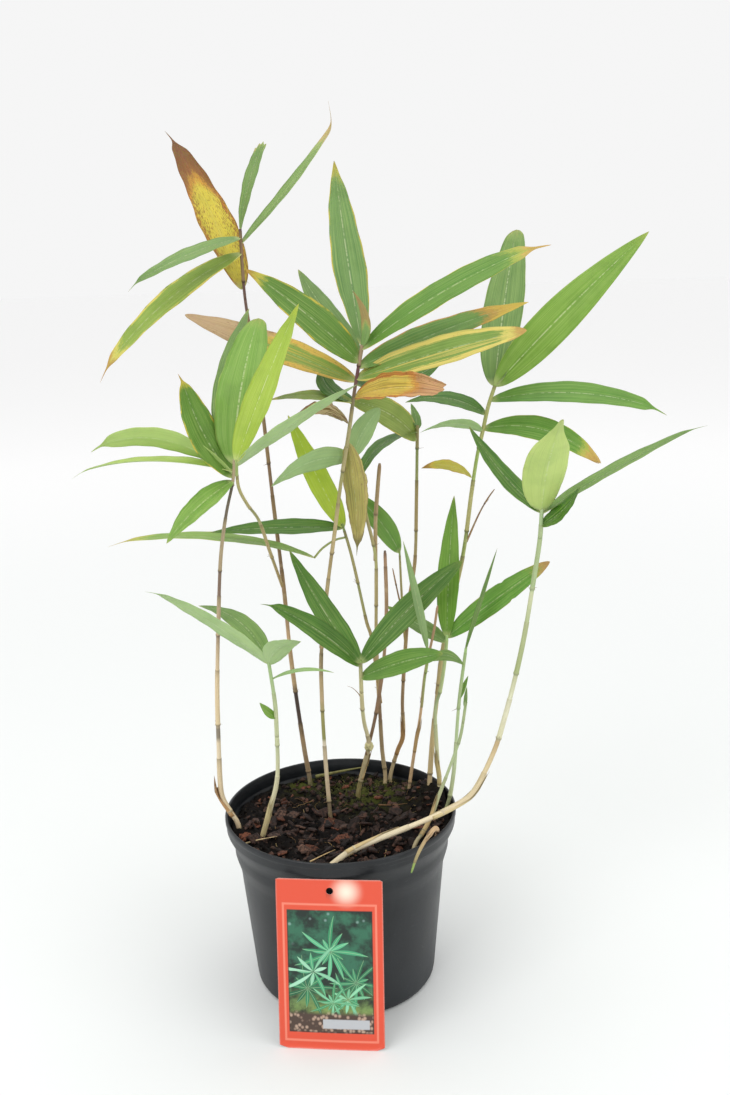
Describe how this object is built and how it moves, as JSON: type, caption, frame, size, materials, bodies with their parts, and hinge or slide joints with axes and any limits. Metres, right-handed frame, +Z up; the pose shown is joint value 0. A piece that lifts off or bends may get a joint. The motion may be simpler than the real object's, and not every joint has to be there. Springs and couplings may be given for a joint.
{
  "type": "potted dwarf bamboo",
  "caption": "Dwarf bamboo with slender jointed culms and fans of broad pointed leaves in a tapered nursery pot of peat, a plant card leaning on the pot.",
  "frame": {"origin": "middle of the pot's flat underside, on the ground", "axes": "+Z up along the pot's axis, -Y towards the plant card (the pictured front), +X to the viewer's right"},
  "size_m": [0.4315, 0.2011, 0.6165],
  "materials": {
    "pot": "dark grey thermoformed nursery pot, matte and slightly dusty",
    "soil": "dark peat potting mix with bark chips",
    "card": "red printed plant card with a satin film, plain artwork",
    "culm": "tan to green bamboo culm with papery sheaths",
    "green_leaf": "mid to deep green leaf blade with fine parallel veins and pale margins",
    "lime_leaf": "lime-green young leaf blade",
    "pale_leaf": "pale grey-green leaf underside",
    "autumn_leaf": "yellow leaf blade with a mauve-brown tip and rusty margins",
    "dry_leaf": "dry tan to brown leaf blade",
    "yellow_leaf": "yellow leaf blade with brown specks"
  },
  "bodies": {
    "root": {"pot": "pot", "soil": "soil", "plant_card": "card", "culm_a": "culm", "culm_b": "culm", "culm_f": "culm", "culm_v": "culm", "culm_g": "culm", "culm_k": "culm", "culm_m": "culm", "culm_n": "culm", "culm_o": "culm", "culm_p": "culm", "culm_r": "culm", "culm_s": "culm", "culm_y": "culm", "culm_t": "culm", "leaves_a": "green_leaf", "leaves_b": "green_leaf", "leaves_c": "lime_leaf", "leaves_e": "green_leaf", "leaves_f": "green_leaf", "leaves_g": "green_leaf", "leaves_h": "green_leaf", "leaves_k": "green_leaf", "leaves_m": "green_leaf", "leaves_n": "green_leaf", "leaves_o": "green_leaf", "leaves_p": "green_leaf", "leaves_j": "green_leaf", "leaves_r": "green_leaf", "leaves_s": "green_leaf", "leaves_v": "pale_leaf", "blade_a_autumn": "autumn_leaf", "blade_f_dry_right": "dry_leaf", "blade_f_dry_left": "dry_leaf", "blade_f_dry_hanging": "dry_leaf", "blade_k_yellow": "yellow_leaf"}
  },
  "joints": []
}
